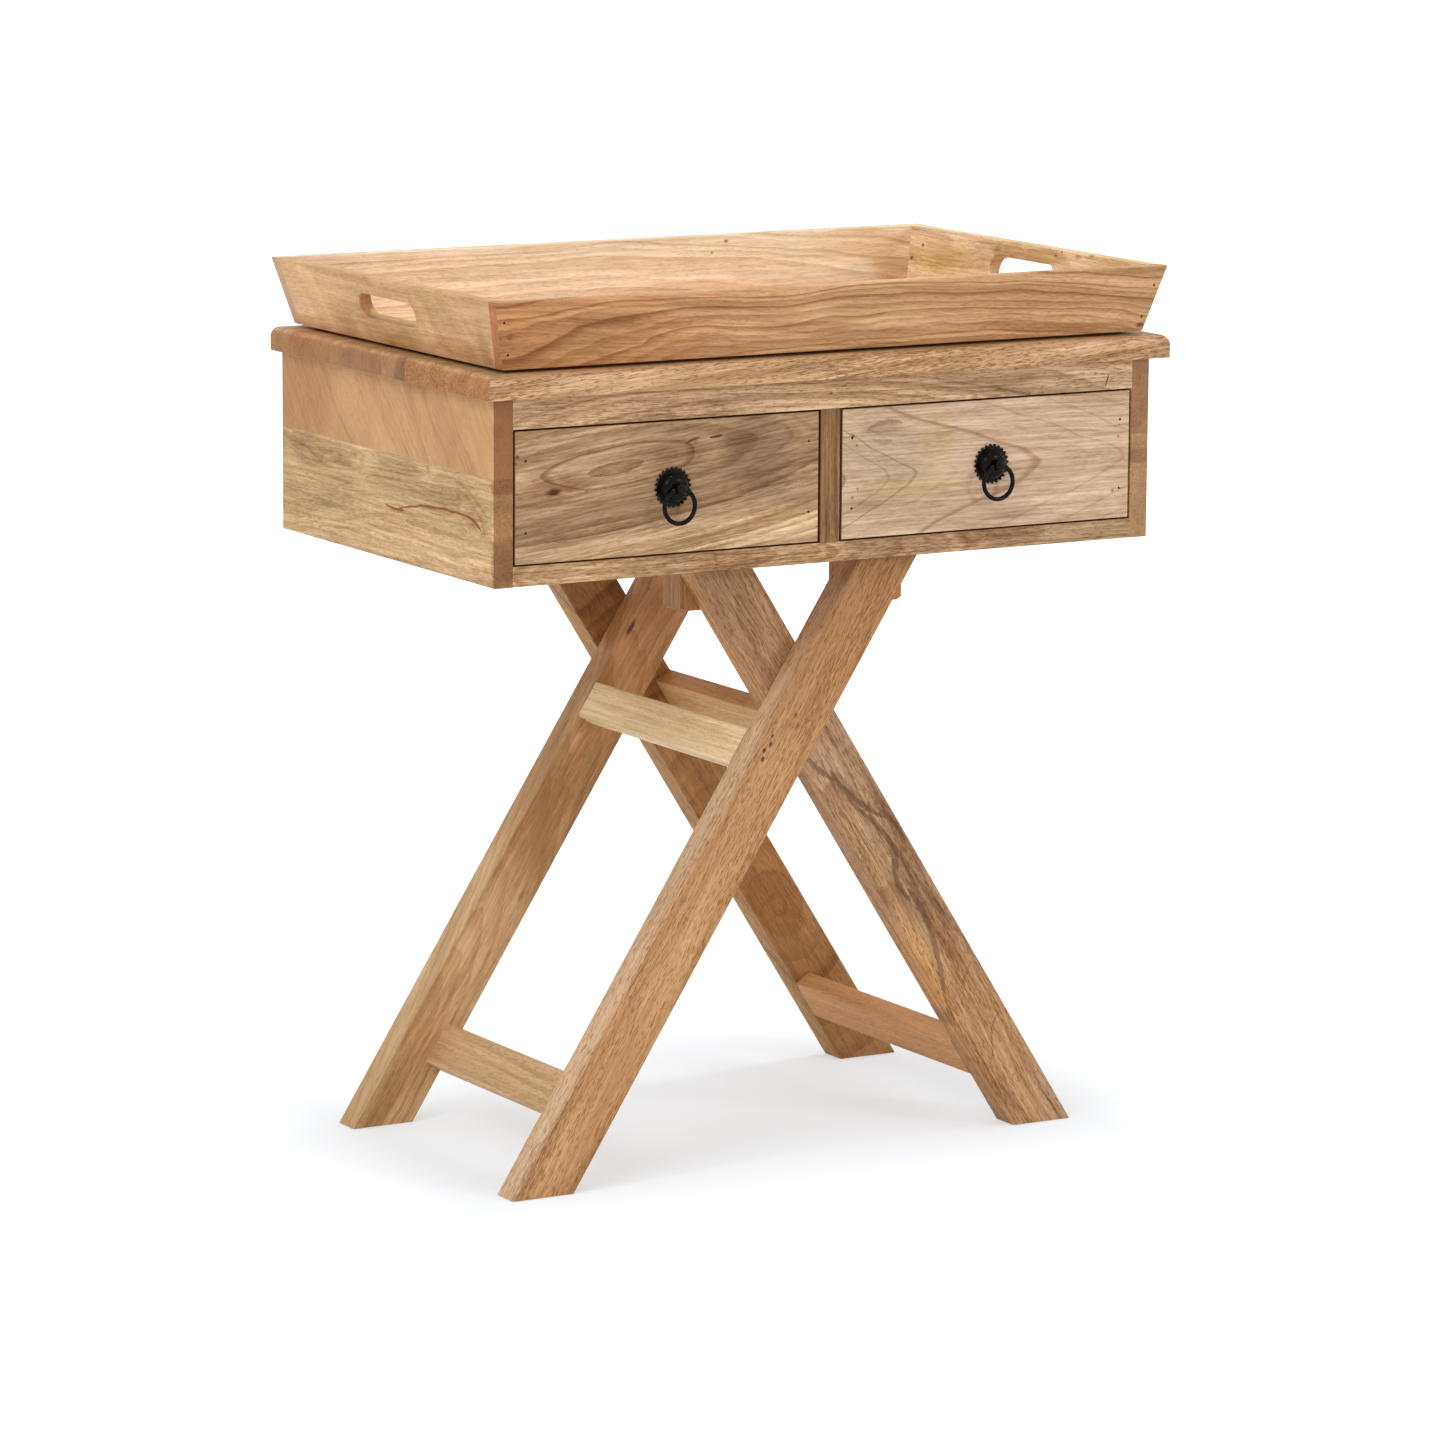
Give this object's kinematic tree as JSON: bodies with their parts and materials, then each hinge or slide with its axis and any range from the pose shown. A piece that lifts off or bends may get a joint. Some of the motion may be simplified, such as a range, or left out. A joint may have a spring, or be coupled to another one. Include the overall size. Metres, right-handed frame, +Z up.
{
  "type": "side table",
  "caption": "Crossed-leg wooden side table with a two-drawer box under its top, ring pulls on the drawers and a loose serving tray with splayed sides.",
  "frame": {"origin": "on the floor under the middle of the whole outline", "axes": "+Z up, -Y towards the person who opens the drawers, +X to that person's right"},
  "size_m": [0.662, 0.4085, 0.757],
  "materials": {
    "front_wood": "clear satin lacquer over light hardwood grain",
    "side_wood": "clear satin lacquer over light hardwood grain",
    "top_wood": "clear satin lacquer over light hardwood grain",
    "leg_wood": "clear satin lacquer over light hardwood grain",
    "bar_wood": "clear satin lacquer over light hardwood grain",
    "tray_wood": "clear satin lacquer over light hardwood grain",
    "drawer_wood": "clear satin lacquer over light hardwood grain",
    "inner_wood": "clear satin lacquer over light hardwood grain",
    "dowel_wood": "clear satin lacquer over light hardwood grain",
    "black_iron": "blackened iron, worn satin",
    "plain_steel": "plain bright steel"
  },
  "bodies": {
    "table": {"left_side_upper_board": "side_wood", "left_side_lower_board": "side_wood", "right_side_upper_board": "side_wood", "right_side_lower_board": "side_wood", "top_rail": "front_wood", "bottom_rail": "front_wood", "centre_stile": "front_wood", "centre_partition": "inner_wood", "back_panel": "inner_wood", "box_floor": "inner_wood", "kicker_strips": "inner_wood", "drawer_stops": "inner_wood", "box_dowels": "dowel_wood", "top_screws": "plain_steel", "top_front_board": "top_wood", "top_middle_board": "top_wood", "top_back_board": "top_wood", "bar_dowels": "dowel_wood", "crossing_dowels": "dowel_wood", "block_screws": "plain_steel", "leg_screws": "plain_steel", "left_foot_front_leg": "leg_wood", "left_foot_rear_leg": "leg_wood", "left_foot_upper_bar": "bar_wood", "left_foot_lower_bar": "bar_wood", "left_foot_front_block": "leg_wood", "left_foot_rear_block": "leg_wood", "right_foot_front_leg": "leg_wood", "right_foot_rear_leg": "leg_wood", "right_foot_upper_bar": "bar_wood", "right_foot_lower_bar": "bar_wood", "right_foot_front_block": "leg_wood", "right_foot_rear_block": "leg_wood"},
    "left_drawer": {"left_drawer_face": "drawer_wood", "left_drawer_left_side": "inner_wood", "left_drawer_right_side": "inner_wood", "left_drawer_back": "inner_wood", "left_drawer_bottom": "inner_wood", "left_drawer_nails": "plain_steel", "left_pull_rosette": "black_iron", "left_pull_knob": "black_iron", "left_pull_nut": "black_iron"},
    "right_drawer": {"right_drawer_face": "drawer_wood", "right_drawer_left_side": "inner_wood", "right_drawer_right_side": "inner_wood", "right_drawer_back": "inner_wood", "right_drawer_bottom": "inner_wood", "right_drawer_nails": "plain_steel", "right_pull_rosette": "black_iron", "right_pull_knob": "black_iron", "right_pull_nut": "black_iron"},
    "left_ring": {"left_pull_ring": "black_iron"},
    "right_ring": {"right_pull_ring": "black_iron"},
    "tray": {"tray_front_board": "tray_wood", "tray_back_board": "tray_wood", "tray_left_end": "tray_wood", "tray_right_end": "tray_wood", "tray_floor": "tray_wood", "tray_nails": "plain_steel"}
  },
  "joints": [
    {"name": "left_drawer_slide", "type": "slide", "parent": "table", "child": "left_drawer", "axis": [0, -1, 0], "range_m": [0, 0.25]},
    {"name": "left_ring_swing", "type": "hinge", "parent": "left_drawer", "child": "left_ring", "pos_m": [-0.15225, -0.19978, 0.5942], "axis": [-1, 0, 0], "range_deg": [-18, 120]},
    {"name": "right_drawer_slide", "type": "slide", "parent": "table", "child": "right_drawer", "axis": [0, -1, 0], "range_m": [0, 0.25]},
    {"name": "right_ring_swing", "type": "hinge", "parent": "right_drawer", "child": "right_ring", "pos_m": [0.15925, -0.19978, 0.5942], "axis": [-1, 0, 0], "range_deg": [-18, 120]},
    {"name": "tray_lift", "type": "slide", "parent": "table", "child": "tray", "axis": [0, 0, 1], "range_m": [0, 0.15]}
  ]
}
